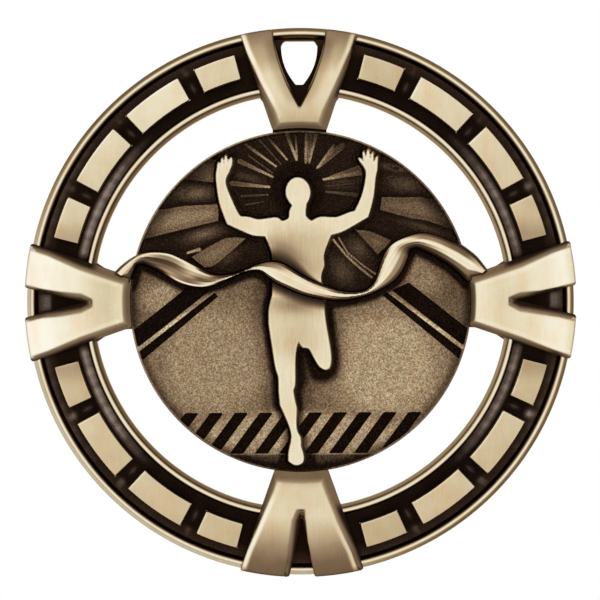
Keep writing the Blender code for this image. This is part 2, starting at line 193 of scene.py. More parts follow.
def is_inside(points, starts, ends):
    """Whether each point lies inside the closed loops that the segments make."""
    found = []
    rise = ends[:, 1] - starts[:, 1]
    slope = (ends[:, 0] - starts[:, 0]) / np.where(abs(rise) < 1e-12, 1e-12, rise)
    for part in range(0, len(points), CHUNK):
        x = points[part : part + CHUNK, 0, None]
        y = points[part : part + CHUNK, 1, None]
        spans = (starts[:, 1] > y) != (ends[:, 1] > y)
        found.append((spans & (x < starts[:, 0] + (y - starts[:, 1]) * slope)).sum(axis=1) % 2 == 1)
    return np.concatenate(found)


def outline_field(loops):
    """A function that gives the distance outside closed loops, negative inside them."""
    starts, ends = segments(loops)

    def field(points):
        gap = nearest(points, starts, ends)[0]
        return np.where(is_inside(points, starts, ends), -gap, gap)

    return field


def stroke(points, rows):
    """Distance outside a line drawn with rows of (x, z, half width), negative on the line."""
    rows = np.asarray(rows, float)
    gap, segment, share = nearest(points, rows[:-1, :2], rows[1:, :2])
    segment = segment.astype(int)
    return gap - rows[segment, 2] - share * (rows[segment + 1, 2] - rows[segment, 2])


def facing(field, points, values, towards):
    """How much a field's outside faces a direction, from -1 to 1."""
    step = 0.05
    return np.clip((field(points + np.multiply(towards, step)) - values) / step, -1, 1)


def glow(points, centre, radii, turn=0.0):
    """1 at the centre of a soft ellipse, falling to 0 outside it."""
    cos, sin = direction(turn)
    x, z = (points - centre).T
    u = (x * cos + z * sin) / radii[0]
    v = (z * cos - x * sin) / radii[1]
    return np.exp(-(u * u + v * v))


def ease(low, high, value):
    """0 below low, 1 above high, and a smooth rise between them."""
    t = np.clip((value - low) / (high - low), 0, 1)
    return t * t * (3 - 2 * t)


def steps_through(value, *stops):
    """Straight steps through (value, result) stops."""
    return np.interp(value, [s[0] for s in stops], [s[1] for s in stops])


def dome(distance, width):
    """How far a rounded edge has dropped: 1 at the edge itself and 0 from the width inwards."""
    t = np.clip(1 - distance / width, 0, 1)
    return 1 - np.sqrt(1 - t * t)


# Sheets of triangles that are cut along lines


class Sheet:
    """A flat mesh of triangles. Its fixed points lie on a line it was cut along."""

    def __init__(self, points, triangles, spacing):
        self.points = points
        self.triangles = triangles
        self.spacing = spacing
        self.fixed = np.zeros(len(points), bool)

    def slide_onto(self, chosen, field, level):
        """Moves the chosen points straight onto the field's line."""
        where = self.points[chosen]
        step = 1e-4
        across = (field(where + (step, 0)) - field(where - (step, 0))) / (2 * step)
        up = (field(where + (0, step)) - field(where - (0, step))) / (2 * step)
        off = (field(where) - level) / np.maximum(across**2 + up**2, 0.3)
        off = np.clip(off, -0.3 * self.spacing, 0.3 * self.spacing)
        self.points[chosen] = where - np.stack([across * off, up * off], axis=1)

    def cut(self, field, *levels):
        """Puts edges along the lines where the field passes each level."""
        values = field(self.points)
        for level in levels:
            values = self.cut_once(field, values, level)
        return self

    def cut_once(self, field, values, level):
        off = values - level
        near = (abs(off) < 0.22 * self.spacing) & ~self.fixed
        self.slide_onto(near, field, level)
        off[near] = 0
        off[abs(off) < 1e-5] = 0
        corners = self.triangles
        edges = corners[:, [[0, 1], [1, 2], [2, 0]]]
        crossed = off[edges[:, :, 0]] * off[edges[:, :, 1]] < 0
        pairs = np.sort(edges[crossed], axis=1)
        pairs, index = np.unique(pairs, axis=0, return_inverse=True)
        share = (off[pairs[:, 0]] / (off[pairs[:, 0]] - off[pairs[:, 1]]))[:, None]
        added = self.points[pairs[:, 0]] * (1 - share) + self.points[pairs[:, 1]] * share
        made = np.full(crossed.shape, -1)
        made[crossed] = len(self.points) + index.reshape(-1)
        count = crossed.sum(axis=1)
        parts = [corners[count == 0]]
        for k in range(3):
            a, b, c = corners[:, k], corners[:, (k + 1) % 3], corners[:, (k + 2) % 3]
            one = (count == 1) & crossed[:, k]
            middle = made[one, k]
            parts.append(np.stack([a[one], middle, c[one]], axis=1))
            parts.append(np.stack([middle, b[one], c[one]], axis=1))
            two = (count == 2) & ~crossed[:, k]
            bc, ca = made[two, (k + 1) % 3], made[two, (k + 2) % 3]
            parts.append(np.stack([c[two], ca, bc], axis=1))
            parts.append(np.stack([a[two], b[two], bc], axis=1))
            parts.append(np.stack([a[two], bc, ca], axis=1))
        first_new = len(self.points)
        self.points = np.concatenate([self.points, added])
        self.triangles = np.concatenate(parts)
        self.fixed = np.concatenate([self.fixed | (off == 0), np.ones(len(added), bool)])
        if len(added):
            self.slide_onto(np.arange(first_new, len(self.points)), field, level)
        values = np.concatenate([values, np.full(len(added), level)])
        values[:first_new][off == 0] = level
        return values

    def keep(self, field, level):
        """Drops every triangle outside the field's level."""
        centres = self.points[self.triangles].mean(axis=1)
        self.triangles = self.triangles[field(centres) < level]
        used, index = np.unique(self.triangles, return_inverse=True)
        self.points = self.points[used]
        self.fixed = self.fixed[used]
        self.triangles = index.reshape(-1, 3)
        return self


def grid_sheet(low, high, spacing):
    """Rows of nearly equal triangles over a rectangle."""
    row_height = spacing * math.sqrt(3) / 2
    columns = int((high[0] - low[0]) / spacing) + 2
    rows = int((high[1] - low[1]) / row_height) + 2
    row, column = np.meshgrid(np.arange(rows), np.arange(columns), indexing="ij")
    x = low[0] - spacing / 2 + (column + 0.5 * (row % 2)) * spacing
    y = low[1] - row_height / 2 + row * row_height
    index = row * columns + column
    a, b = index[:-1, :-1].ravel(), index[:-1, 1:].ravel()
    d, c = index[1:, :-1].ravel(), index[1:, 1:].ravel()
    odd = (row[:-1, :-1] % 2 == 1).ravel()[:, None]
    first = np.where(odd, np.stack([a, b, c], axis=1), np.stack([a, b, d], axis=1))
    second = np.where(odd, np.stack([a, c, d], axis=1), np.stack([b, c, d], axis=1))
    return Sheet(np.stack([x.ravel(), y.ravel()], axis=1), np.concatenate([first, second]), spacing)


def polar_sheet(radii, steps):
    """Rings of points round the centre, with one point in the middle."""
    angles = np.arange(steps) * 2 * math.pi / steps
    rings = [np.stack([r * np.cos(angles), r * np.sin(angles)], axis=1) for r in radii]
    a = np.arange(steps)
    b = (a + 1) % steps
    centre = np.full(steps, len(radii) * steps)
    parts = [np.stack([centre, a, b], axis=1)]
    for i in range(len(radii) - 1):
        inner, outer = i * steps, (i + 1) * steps
        parts.append(np.stack([inner + a, outer + a, outer + b], axis=1))
        parts.append(np.stack([inner + a, outer + b, inner + b], axis=1))
    points = np.concatenate([*rings, [[0.0, 0.0]]])
    return Sheet(points, np.concatenate(parts), 2 * math.pi * radii[-1] / steps)


def pull_in(sheet, loops):
    """Moves points that stray outside closed loops back onto them."""
    starts, ends = segments(loops)
    gap, segment, share = nearest(sheet.points, starts, ends)
    stray = ~is_inside(sheet.points, starts, ends) & (gap > 1e-3)
    segment = segment[stray].astype(int)
    sheet.points[stray] = starts[segment] + share[stray, None] * (ends[segment] - starts[segment])


def sheet_over(loops, spacing, margin):
    """A grid sheet over the loops' box."""
    points = np.concatenate(loops)
    return grid_sheet(points.min(axis=0) - margin, points.max(axis=0) + margin, spacing)


# Pieces


def rim_edges(triangles):
    """The directed edges that only one triangle uses."""
    edges = np.concatenate([triangles[:, [0, 1]], triangles[:, [1, 2]], triangles[:, [2, 0]]])
    key = edges[:, 0].astype(np.int64) * (triangles.max() + 1) + edges[:, 1]
    other = edges[:, 1].astype(np.int64) * (triangles.max() + 1) + edges[:, 0]
    return edges[~np.isin(key, other)]


def outward(points, edges, count):
    """The direction out of the sheet at each point of its rim."""
    along = points[edges[:, 1]] - points[edges[:, 0]]
    along /= np.maximum(np.hypot(*along.T), 1e-9)[:, None]
    normals = np.zeros((count, 2))
    sideways = np.stack([along[:, 1], -along[:, 0]], axis=1)
    np.add.at(normals, edges[:, 0], sideways)
    np.add.at(normals, edges[:, 1], sideways)
    return normals / np.maximum(np.hypot(*normals.T), 1e-9)[:, None]


def flat_cap(points, edges):
    """Triangles that fill the flat region inside closed rims, as seen from behind."""
    starts, ends = points[edges[:, 0]], points[edges[:, 1]]
    found = delaunay_2d_cdt([Vector(p) for p in points], edges.tolist(), [], 0, 1e-7)
    corners = np.array([found[3][i][0] if found[3][i] else -1 for i in range(len(found[0]))])
    triangles = corners[np.array([face for face in found[2] if len(face) == 3])]
    triangles = triangles[(triangles >= 0).all(axis=1)]
    inside = is_inside(points[triangles].mean(axis=1), starts, ends)
    return triangles[inside][:, ::-1]


def make_piece(
    node, sheet, heights, shades, foot, material, foot_shade=0.05, grain=0.0, glint_tint=0.0, chamfer=0.0
):
    """A mesh of a sheet's relief, walls down to its foot and a flat underside, in place of a node."""
    name = "fine_" + node
    count = len(sheet.points)
    edges = rim_edges(sheet.triangles)
    rim = np.unique(edges)
    to_rim = np.full(count, -1)
    to_rim[rim] = np.arange(len(rim))
    loop = to_rim[edges]
    out = outward(sheet.points, edges, count)[rim]
    flat = [sheet.points]
    up = [heights]
    tone = [shades]
    faces = [sheet.triangles]
    above = edges
    feet = np.broadcast_to(foot, count)[rim]
    foot_tones = np.broadcast_to(foot_shade, count)[rim]
    rings = [(feet, 0.0)] if chamfer == 0 else [(feet + chamfer, 0.0), (feet, chamfer)]
    for ring, inset in rings:
        first = sum(len(part) for part in flat)
        below = loop + first
        flat.append(sheet.points[rim] - out * inset)
        up.append(ring)
        tone.append(foot_tones)
        a, b, c, d = above[:, 0], below[:, 0], below[:, 1], above[:, 1]
        faces.append(np.stack([a, b, c], axis=1))
        faces.append(np.stack([a, c, d], axis=1))
        above = below
    faces.append(flat_cap(flat[-1], loop) + first)
    flat, up, tone = np.concatenate(flat), np.concatenate(up), np.concatenate(tone)
    mesh = bpy.data.meshes.new(name)
    places = np.stack([flat[:, 0] * MM, (BACK - up) * MM, flat[:, 1] * MM], axis=1)
    mesh.from_pydata(places.tolist(), [], np.concatenate(faces).tolist())
    # The last attribute marks where painted glints take the greyer glint colour
    grains, glint_tints = np.zeros((2, len(tone)))
    grains[:count], glint_tints[:count] = grain, glint_tint
    for label, values in (("shade", tone), ("grain", grains), ("glint_tint", glint_tints)):
        mesh.attributes.new(label, "FLOAT", "POINT").data.foreach_set("value", values.astype(np.float32))
    mesh.shade_smooth()
    mesh.set_sharp_from_angle(angle=math.radians(38))
    mesh.materials.append(material)
    piece = bpy.data.objects.new(name, mesh)
    bpy.context.scene.collection.objects.link(piece)
    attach(piece, "root")
    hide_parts(node)
    return piece


# Ring: rounded rims either side of a dark channel

RING_STEPS = 720
RIM_SHOULDER = 0.3
RIM_SKIRT = 0.9
BACK_CHAMFER = 0.15
DISC_GAP = 0.03
WINDOW_HALF_WIDTH = 1.75
CHANNEL_GRAIN = 0.7
WEB_SHADE = 0.1
WINDOW_SHADE = 0.04
OUTSIDE_SHADE = 0.62
LIT_OUTSIDE_SHADE = 0.92
# The angle round the medal where the outer rim's outside catches the light
LIT_OUTER_SIDE = 222
# One rim from its crest outwards: distance as a share of its width, drop, and shade. The shades are a
# painted highlight on the polished crest, painted shade down the slopes, and patina in the channel
RIM_OPEN_SIDE = (
    (0.0, 0.0, 0.91), (0.14, 0.02, 0.91), (0.3, 0.08, 0.8), (0.42, 0.2, 0.56),
    (0.55, 0.38, 0.5), (0.78, 0.64, 0.48), (1.0, 0.95, 0.46),
)
RIM_CHANNEL_SIDE = (
    (0.1, 0.005, 0.92), (0.25, 0.03, 0.8), (0.5, 0.12, 0.5), (0.8, 0.28, 0.3), (1.0, 0.6, 0.2),
    (1.1, 1.25, 0.12), (1.3, 1.39, 0.05), (3.0, 1.4, 0.03),
)
# Painted glints, small reflections in the gaps between tiles: each gap's angle within a quarter turn, and
# the shade of the glint at its outer end in each of the four quarters
GAP_GLINTS = (
    (26.5, (0.43, 0.23, 0.44, 0.27)),
    (45.0, (0.20, 0.20, 0.34, 0.35)),
    (63.5, (0.18, 0.23, 0.23, 0.57)),
)
# The glints' distances from the medal's centre
GAP_MIDDLE = 26.2
GAP_END = 28.0
GAP_MIDDLE_SHADE = 0.2


def gap_glints(points):
    """Shades of the painted glints in the middle and at the outer end of each gap."""
    found = np.zeros(len(points))
    for angle, quarters in GAP_GLINTS:
        for quarter, shade in enumerate(quarters):
            turn = angle + 90 * quarter
            middle = GAP_MIDDLE_SHADE * glow(points, direction(turn) * GAP_MIDDLE, (0.6, 0.25), turn)
            end = shade * glow(points, direction(turn) * GAP_END, (0.4, 0.5), turn)
            found = np.maximum.reduce([found, middle, end])
    return found


def rim_rows(crest, open_edge, channel_edge):
    """(radius, drop, shade) across one rim."""
    rows = [(crest + (open_edge - crest) * share, drop, shade) for share, drop, shade in RIM_OPEN_SIDE]
    for share, drop, shade in RIM_CHANNEL_SIDE:
        rows.append((crest + (channel_edge - crest) * share, drop, shade))
    return rows


def ring_sheet(node, rows, opening):
    """A sheet with points on both rims, in the channel, on the webs and under the disc."""
    disc_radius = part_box("centre_disc")[1].x / MM
    under_disc = np.array([0.2, 0.4, 0.6, 0.8, 0.95, 1.0]) * disc_radius
    webs = np.linspace(disc_radius, opening, 9)[1:-1]
    middle = len(rows) // 2
    channel = np.linspace(rows[middle - 1, 0], rows[middle, 0], 14)[1:-1]
    radii = np.unique(np.round(np.concatenate([under_disc, webs, channel, rows[:, 0]]), 4))
    loops = [loop for loop in smooth_outline(node, 0.0) if np.hypot(*loop.mean(axis=0)) > 1]
    solid = outline_field(loops)

    def holes(points):
        return -solid(points)

    return polar_sheet(radii, RING_STEPS).cut(holes, 0.0).keep(holes, 0.0)


def ring_glints(points, radius, inner_wall, outer_wall):
    """Shades of painted glints, small reflections, on the channel's floor and inside the side brackets'
    windows.
    """
    angle = np.degrees(np.arctan2(points[:, 1], points[:, 0]))
    rise = abs(np.degrees(np.arcsin(np.clip(points[:, 1] / radius, -1, 1))))
    beside_brackets = ease(10, 14, rise) * (1 - ease(30, 52, rise))
    beside_brackets *= np.where(points @ (1, -1) < 0, 1, 0.85)
    by_inner_rim = ease(inner_wall, inner_wall + 0.2, radius)
    by_inner_rim *= 1 - ease(inner_wall + 0.85, inner_wall + 1.15, radius)
    by_outer_rim = ease(outer_wall - 0.5, outer_wall - 0.2, radius)
    by_outer_rim *= 1 - ease(outer_wall, outer_wall + 0.1, radius)
    streaks = 0.85 + 0.15 * np.sin(angle * 1.7) * np.sin(angle * 0.61)
    channel = (0.62 * by_inner_rim + 0.3 * by_outer_rim) * beside_brackets * streaks
    windows = ease(27.2, 27.6, radius) * (1 - ease(28.3, 28.6, radius)) * (1 - ease(1.2, 2.4, rise))
    return np.maximum.reduce([channel, 0.34 * windows, gap_glints(points)])


def make_ring(material):
    node = "ring_frame"
    top = height_of(node)
    web_top = foot_of("centre_disc") - DISC_GAP
    inner_crest, outer_crest = cad_radii(node, top)
    inner_wall, outer_wall = cad_radii(node, top - RIM_SHOULDER)
    opening, edge = cad_radii(node, top - RIM_SKIRT)
    rows = rim_rows(inner_crest, opening, inner_wall) + rim_rows(outer_crest, edge, outer_wall)
    rows = np.array(sorted(rows))
    sheet = ring_sheet(node, rows, opening)
    points = sheet.points
    radius = np.maximum(np.hypot(*points.T), SAME)
    on_web = radius < opening - SAME
    in_window = (abs(points[:, 0]) < WINDOW_HALF_WIDTH) & (points[:, 1] > 0) & (radius < inner_wall + 0.4)
    heights = np.maximum(top - np.interp(radius, rows[:, 0], rows[:, 1]), web_top)
    heights[on_web | in_window] = web_top
    angle = np.arctan2(points[:, 1], points[:, 0])
    sunny = ease(0.1, 0.8, np.cos(angle - math.radians(LIT_OUTER_SIDE)))
    outer_side = ease(outer_crest + 0.1, outer_crest + 0.25, radius)
    inner_side = 1 - ease(opening + 0.3, opening + 0.6, radius)
    shades = np.interp(radius, rows[:, 0], rows[:, 2])
    shades += outer_side * (LIT_OUTSIDE_SHADE - shades) * sunny
    # Painted light: the inner rim's inside slope is paler, most on the right
    shades += inner_side * (0.1 + 0.12 * np.cos(angle))
    # Painted light: the channel floor and the foot of the outer rim's inner wall are paler towards the
    # outer rim
    lit_floor_band = steps_through(radius, (27.3, 0), (27.9, 0.11), (28.5, 0.12), (outer_wall, 0.18))
    shades = np.where(radius < outer_wall, np.maximum(shades, lit_floor_band), shades)
    glint = ring_glints(points, radius, inner_wall, outer_wall)
    # Where painted glints show, the colour turns to the greyer glint tones
    glint_tint = ease(0, 0.15, glint - shades)
    shades = np.maximum(shades, glint)
    shades[on_web] = WEB_SHADE
    shades[in_window] = WINDOW_SHADE
    channel_floor = (radius > inner_wall + 0.1) & (radius < outer_wall - 0.1) & ~in_window
    return make_piece(
        node, sheet, heights, shades, 0.0, material, foot_shade=OUTSIDE_SHADE,
        grain=CHANNEL_GRAIN * channel_floor, glint_tint=glint_tint, chamfer=BACK_CHAMFER,
    )


# Tiles

TILE_SPACING = 0.2
TILE_ROLL = 0.16
TILE_ROLL_DROP = 0.35
# The tiles are scaled from the medal's centre by this much, so they lie a little further out
TILE_SPREAD = 1.0045
# The way that the paler walls of a tile face
LIT_WALLS = (0.75, -0.66)
# Shades of each quarter's four tiles, anticlockwise
TILE_SHADES = {
    "upper_left": (0.82, 0.88, 0.84, 0.82),
    "lower_left": (0.76, 0.79, 0.78, 0.76),
    "lower_right": (0.73, 0.78, 0.78, 0.76),
    "upper_right": (0.76, 0.82, 0.84, 0.76),
}


def make_tile(node, shade, material):
    top, foot = height_of(node), foot_of(node)
    loops = [loop * TILE_SPREAD for loop in cad_outline(node, foot)]
    field = outline_field(loops)
    sheet = sheet_over(loops, TILE_SPACING, 0.2)
    sheet.cut(field, 0.0, -0.05, -0.12, -0.2).keep(field, 0.0)
    pull_in(sheet, loops)
    value = field(sheet.points)
    depth = np.maximum(-value, 0)
    heights = top - TILE_ROLL_DROP * dome(depth, TILE_ROLL)
    centre = np.concatenate(loops).mean(axis=0)
    lean = (sheet.points - centre) @ (-0.3, 1.0) / 4
    edge = 1 - ease(-0.06, 0.03, depth)
    # Painted light: walls facing the lower right are paler, and a painted highlight runs just inside the
    # edges facing the upper left
    lower_right = facing(field, sheet.points, value, LIT_WALLS)
    wall = 0.4 + 0.2 * lower_right
    edge_highlight = 0.12 * (1 - ease(0.14, 0.3, depth)) * np.maximum(-lower_right, 0)
    shades = shade + 0.03 * lean + edge_highlight - 0.12 * (1 - ease(7.0, 9.5, abs(sheet.points[:, 1])))
    shades += (wall - shades) * edge
    return make_piece(node, sheet, heights, shades, foot, material)


# Brackets

BRACKET_SPACING = 0.2
BRACKET_BEVEL = 0.3
BRACKET_WALL_DROP = 0.5
FACE_ROLL = 0.4
FACE_ROLL_DROP = 0.14
FACE_CROWN = 0.06
SIDE_FOOT_SHADE = 0.12
END_FOOT_SHADE = 0.5
LONG_EDGE_RADII = (21.0, 24.4, 28.0)
WINDOW_RADII = (22.6, 24.0, 26.2, 28.3)
# Except at the top, a window's insets count only outside this radius
WINDOW_TIP = 22.75
# How far each bracket's face lies inside its outline at the radii above: along its right and left edges,
# along the right and left sides of its window, and at its foot
FACE_INSETS = {
    "bracket_top": (
        (0.76, 0.35, -0.05), (0.6, 0.07, -0.25),
        (-0.1, -0.1, -0.15, -0.18), (-0.1, -0.1, -0.15, -0.18), 0.3,
    ),
    "bracket_left": (
        (0.73, 0.77, 0.42), (0.5, 0.5, 0.25),
        (0.2, 0.52, 0.18, 0.0), (0.35, 0.72, 0.55, 0.2), 0.45,
    ),
    "bracket_bottom": (
        (0.3, 0.02, -0.25), (0.8, 0.65, 0.25),
        (0.4, 0.7, 0.5, 0.27), (0.1, 0.07, -0.2, -0.25), 0.85,
    ),
    "bracket_right": (
        (0.3, 0.27, 0.1), (0.68, 0.72, 0.38),
        (0.4, 0.8, 0.6, 0.4), (0.2, 0.4, 0.05, -0.05), 0.15,
    ),
}
END_INSET = -0.2
# Shades along each bracket's face, as (radius, shade). The top and bottom brackets grow darker towards
# their outer ends, painted shade as if their faces curved away from the light
FACE_SHADES = {
    "bracket_top": (
        (19.3, 0.7), (20.3, 0.78), (22.0, 0.86), (25.0, 0.87), (26.8, 0.72), (28.4, 0.62), (30, 0.48),
    ),
    "bracket_left": ((19.6, 0.88), (21.0, 0.81), (22.0, 0.83), (24.5, 0.92), (28.0, 1.0), (30, 1.0)),
    "bracket_bottom": (
        (19.3, 0.72), (20.5, 0.82), (23.5, 0.86), (25.0, 0.77), (27.0, 0.6), (28.5, 0.47), (30, 0.41),
    ),
    "bracket_right": ((19.6, 0.92), (20.6, 0.87), (22.0, 0.85), (25.0, 0.89), (29.0, 0.97), (30, 0.86)),
}


def bracket_edges(node, starts, ends, sideways):
    """A bracket's six edges. Each is a choice of segments, and its face's insets at a row of radii."""
    middles = (starts + ends) / 2
    along = ends - starts
    turn = np.sign(cross(starts, ends).sum())
    away = turn * cross(sideways[None], along) / np.hypot(*along.T)
    radius, side = np.hypot(*middles.T), middles @ sideways
    at_foot = radius < radius.min() + 0.1
    at_end = radius > radius.max() - 0.05
    at_window = ~at_foot & ~at_end & (away * np.sign(side) < 0.3)
    at_side = ~at_foot & ~at_end & ~at_window
    right = side > 0
    right_insets, left_insets, window_right, window_left, foot_inset = FACE_INSETS[node]
    return (
        (at_side & right, LONG_EDGE_RADII, right_insets),
        (at_side & ~right, LONG_EDGE_RADII, left_insets),
        (at_window & right, WINDOW_RADII, window_right),
        (at_window & ~right, WINDOW_RADII, window_left),
        (at_foot, (0,), (foot_inset,)),
        (at_end, (0,), (END_INSET,)),
    )


def edge_gaps(points, starts, ends, edges):
    """A row for each edge with every point's distance to it."""
    return np.stack([nearest(points, starts[chosen], ends[chosen])[0] for chosen, *_ in edges])


def face_field(node, starts, ends, edges):
    """A function that gives the distance outside a bracket's flat face."""

    def face(points):
        gaps = edge_gaps(points, starts, ends, edges)
        closest = gaps.argmin(axis=0)
        radius = np.hypot(*points.T)
        signs = -np.ones(gaps.shape)
        signs[closest, np.arange(len(points))] = np.where(is_inside(points, starts, ends), -1, 1)
        inset = np.stack([np.interp(radius, radii, insets) for _, radii, insets in edges])
        beyond = inset + signs * gaps
        if node != "bracket_top":
            beyond[2:4] = np.minimum(beyond[2:4], radius - WINDOW_TIP)
        return beyond.max(axis=0)

    return face


def face_shades(node, radius, gaps, edges, up):
    """Shades of a bracket's flat face, with a painted highlight strip just inside each long edge, brightest
    on the left-hand edges of the top and bottom brackets.
    """
    upright = up**2
    from_long = gaps[:2].min(axis=0)
    on_right = gaps[0] < gaps[1]
    right_inset, left_inset = (np.interp(radius, radii, insets) for _, radii, insets in edges[:2])
    from_crest = from_long - np.where(on_right, right_inset, left_inset)
    strip = ease(0.02, 0.2, from_crest) * (1 - ease(0.35, 0.75, from_crest))
    strip *= from_long < gaps[2:5].min(axis=0)
    crest = np.where(on_right ^ (up < 0), 0.86, 0.98) * upright + (1 - upright)
    shades = np.interp(radius, *zip(*FACE_SHADES[node]))
    mid_length = upright * ease(20.5, 23, radius) * (1 - ease(29.4, 30.1, radius))
    shades += (crest - shades) * strip * (0.3 + 0.65 * mid_length)
    if node == "bracket_top":
        # Painted shade: the top bracket's face is darker beside its window, as if it curved away from the
        # light
        beside_window = 1 - ease(0.1, 1.3, gaps[2:4].min(axis=0))
        beside_window *= from_long >= gaps[2:].min(axis=0)
        shades -= 0.14 * beside_window * ease(20.8, 22.5, radius) * (1 - ease(28, 29.5, radius))
    return shades


def make_bracket(node, material):
    top, foot = height_of(node), foot_of(node)
    loops = [smoothed(loop, corner=30) for loop in cad_outline(node, top)]
    starts, ends = segments(loops)
    lengthways = np.concatenate(loops).mean(axis=0)
    lengthways /= np.hypot(*lengthways)
    sideways = np.array([lengthways[1], -lengthways[0]])
    edges = bracket_edges(node, starts, ends, sideways)
    field = outline_field(loops)
    face = face_field(node, starts, ends, edges)
    sheet = sheet_over(loops, BRACKET_SPACING, 0.5)
    sheet.cut(field, BRACKET_BEVEL).keep(field, BRACKET_BEVEL)
    sheet.cut(face, 0.3, 0.12, 0.0, -0.08, -0.2, -0.4, -0.7)
    points = sheet.points
    value, off = field(points), face(points)
    radius = np.hypot(*points.T)
    gaps = edge_gaps(points, starts, ends, edges)
    shades = face_shades(node, radius, gaps, edges, lengthways[1])
    fall = steps_through(off, (0, 0.62), (0.1, 0.58), (0.3, 0.5), (0.65, 0.1))
    open_side = 1 - ease(22.2, 23.4, radius)
    wall = fall + (np.maximum(fall, 0.46) - fall) * open_side
    by_end = gaps.argmin(axis=0) == len(edges) - 1
    wall = np.where(by_end, shades - 0.08, wall)
    shades += (wall - shades) * ease(-0.04, 0.05, off)
    crown = ease(0.0, 1.5, abs(points @ sideways)) * lengthways[1] ** 2
    beyond = np.maximum(off, 0)
    down_wall = np.clip(beyond / np.maximum(beyond + BRACKET_BEVEL - value, 0.05), 0, 1)
    heights = top - FACE_ROLL_DROP * dome(-off, FACE_ROLL) - FACE_CROWN * crown
    heights -= BRACKET_WALL_DROP * down_wall
    foot_shade = np.where(radius > 29.5, END_FOOT_SHADE, SIDE_FOOT_SHADE)
    return make_piece(node, sheet, heights, shades, foot, material, foot_shade=foot_shade)


# Tape

TAPE_SPACING = 0.1
TAPE_BEVEL = 0.15
TAPE_DEPTH = 0.4
TAPE_EDGE_DROP = 0.6
TAPE_LAP_DEPTH = 0.92
# Stations along the tape's middle as (x, z) and the shades across it from its lower to its upper edge.
# Pale stretches are its raised folds with painted highlights along them; dark stretches are patina and
# painted shade on the ribbon's tilted faces
ACROSS_TAPE = (0.0, 0.2, 0.4, 0.6, 0.8, 1.0)
TAPE_STATIONS = (
    (-19.7, 2.7, 0.35, 0.45, 0.72, 0.92, 0.90, 0.45),
    (-18.5, 3.9, 0.20, 0.38, 0.66, 0.88, 0.98, 0.50),
    (-17.5, 4.6, 0.10, 0.25, 0.40, 0.58, 1.00, 0.75),
    (-16.2, 4.5, 0.10, 0.36, 0.50, 0.38, 0.72, 1.00),
    (-15.0, 4.2, 0.18, 0.55, 0.50, 0.38, 0.60, 1.00),
    (-14.0, 3.8, 0.55, 0.64, 0.55, 0.42, 0.64, 1.00),
    (-13.0, 3.3, 0.95, 0.58, 0.60, 0.56, 0.78, 1.00),
    (-12.0, 3.0, 1.00, 0.52, 0.66, 0.72, 0.96, 0.85),
    (-11.0, 2.65, 1.00, 0.62, 0.48, 0.66, 0.90, 0.40),
    (-10.0, 2.4, 0.95, 0.88, 0.52, 0.58, 0.76, 0.30),
    (-9.0, 2.5, 0.50, 1.00, 0.68, 0.48, 0.40, 0.20),
    (-8.0, 2.7, 0.25, 0.95, 0.85, 0.45, 0.34, 0.15),
    (-7.0, 3.0, 0.20, 0.85, 0.90, 0.50, 0.34, 0.15),
    (-6.0, 3.4, 0.18, 0.75, 0.92, 0.58, 0.32, 0.15),
    (-5.0, 3.7, 0.25, 0.85, 1.00, 0.85, 0.48, 0.25),
    (-4.2, 3.65, 0.40, 0.95, 1.00, 0.90, 0.55, 0.42),
    (-3.4, 3.4, 0.45, 1.00, 0.97, 0.90, 0.60, 0.50),
    (-2.4, 3.0, 0.40, 1.00, 0.90, 0.92, 0.68, 0.45),
    (-1.4, 2.6, 0.38, 0.95, 0.88, 0.94, 0.84, 0.36),
    (-0.4, 2.15, 0.38, 0.90, 0.88, 0.96, 0.88, 0.34),
    (0.6, 1.65, 0.36, 0.85, 0.88, 0.98, 0.88, 0.34),
    (1.6, 1.3, 0.34, 0.78, 0.92, 1.00, 0.80, 0.34),
    (2.6, 1.0, 0.32, 0.68, 0.92, 1.00, 0.72, 0.32),
    (3.8, 0.72, 0.30, 0.56, 0.96, 0.94, 0.52, 0.26),
    (5.0, 0.62, 0.26, 0.48, 0.94, 0.94, 0.42, 0.22),
    (6.2, 0.68, 0.25, 0.46, 0.94, 0.95, 0.42, 0.22),
    (7.2, 0.94, 0.25, 0.48, 0.94, 0.95, 0.44, 0.26),
    (8.0, 1.45, 0.30, 0.60, 0.95, 0.95, 0.54, 0.32),
    (8.7, 2.2, 0.34, 0.64, 1.00, 1.00, 0.72, 0.34),
    (9.3, 3.1, 0.36, 0.62, 0.98, 1.00, 0.84, 0.36),
    (9.8, 4.0, 0.38, 0.62, 0.88, 0.96, 0.90, 0.44),
    (10.4, 5.0, 0.40, 0.58, 0.80, 0.88, 0.94, 0.62),
    (10.9, 5.8, 0.38, 0.50, 0.58, 0.74, 0.98, 0.95),
    (11.8, 6.25, 0.18, 0.36, 0.50, 0.84, 1.00, 0.74),
    (13.0, 6.4, 0.15, 0.34, 0.56, 1.00, 0.62, 0.48),
    (14.2, 6.1, 0.15, 0.36, 0.66, 1.00, 0.60, 0.38),
    (15.4, 5.65, 0.15, 0.42, 0.82, 0.98, 0.56, 0.34),
    (16.6, 5.0, 0.15, 0.50, 0.95, 0.92, 0.50, 0.30),
    (17.8, 4.3, 0.18, 0.54, 0.94, 0.96, 0.52, 0.30),
    (18.8, 3.7, 0.28, 0.54, 0.92, 0.98, 0.68, 0.32),
    (19.9, 2.9, 0.35, 0.50, 0.80, 0.92, 0.84, 0.35),
)


def across_tape(points, depth, rows):
    """Where each point lies from the tape's lower edge (0) to its upper edge (1), and along the rows."""
    starts, ends = rows[:-1, :2], rows[1:, :2]
    gap, segment, share = nearest(points, starts, ends)
    segment = segment.astype(int)
    along = ends[segment] - starts[segment]
    side = np.sign(cross(along, points - starts[segment]))
    return 0.5 + 0.5 * side * gap / np.maximum(gap + depth, 1e-6), segment, share


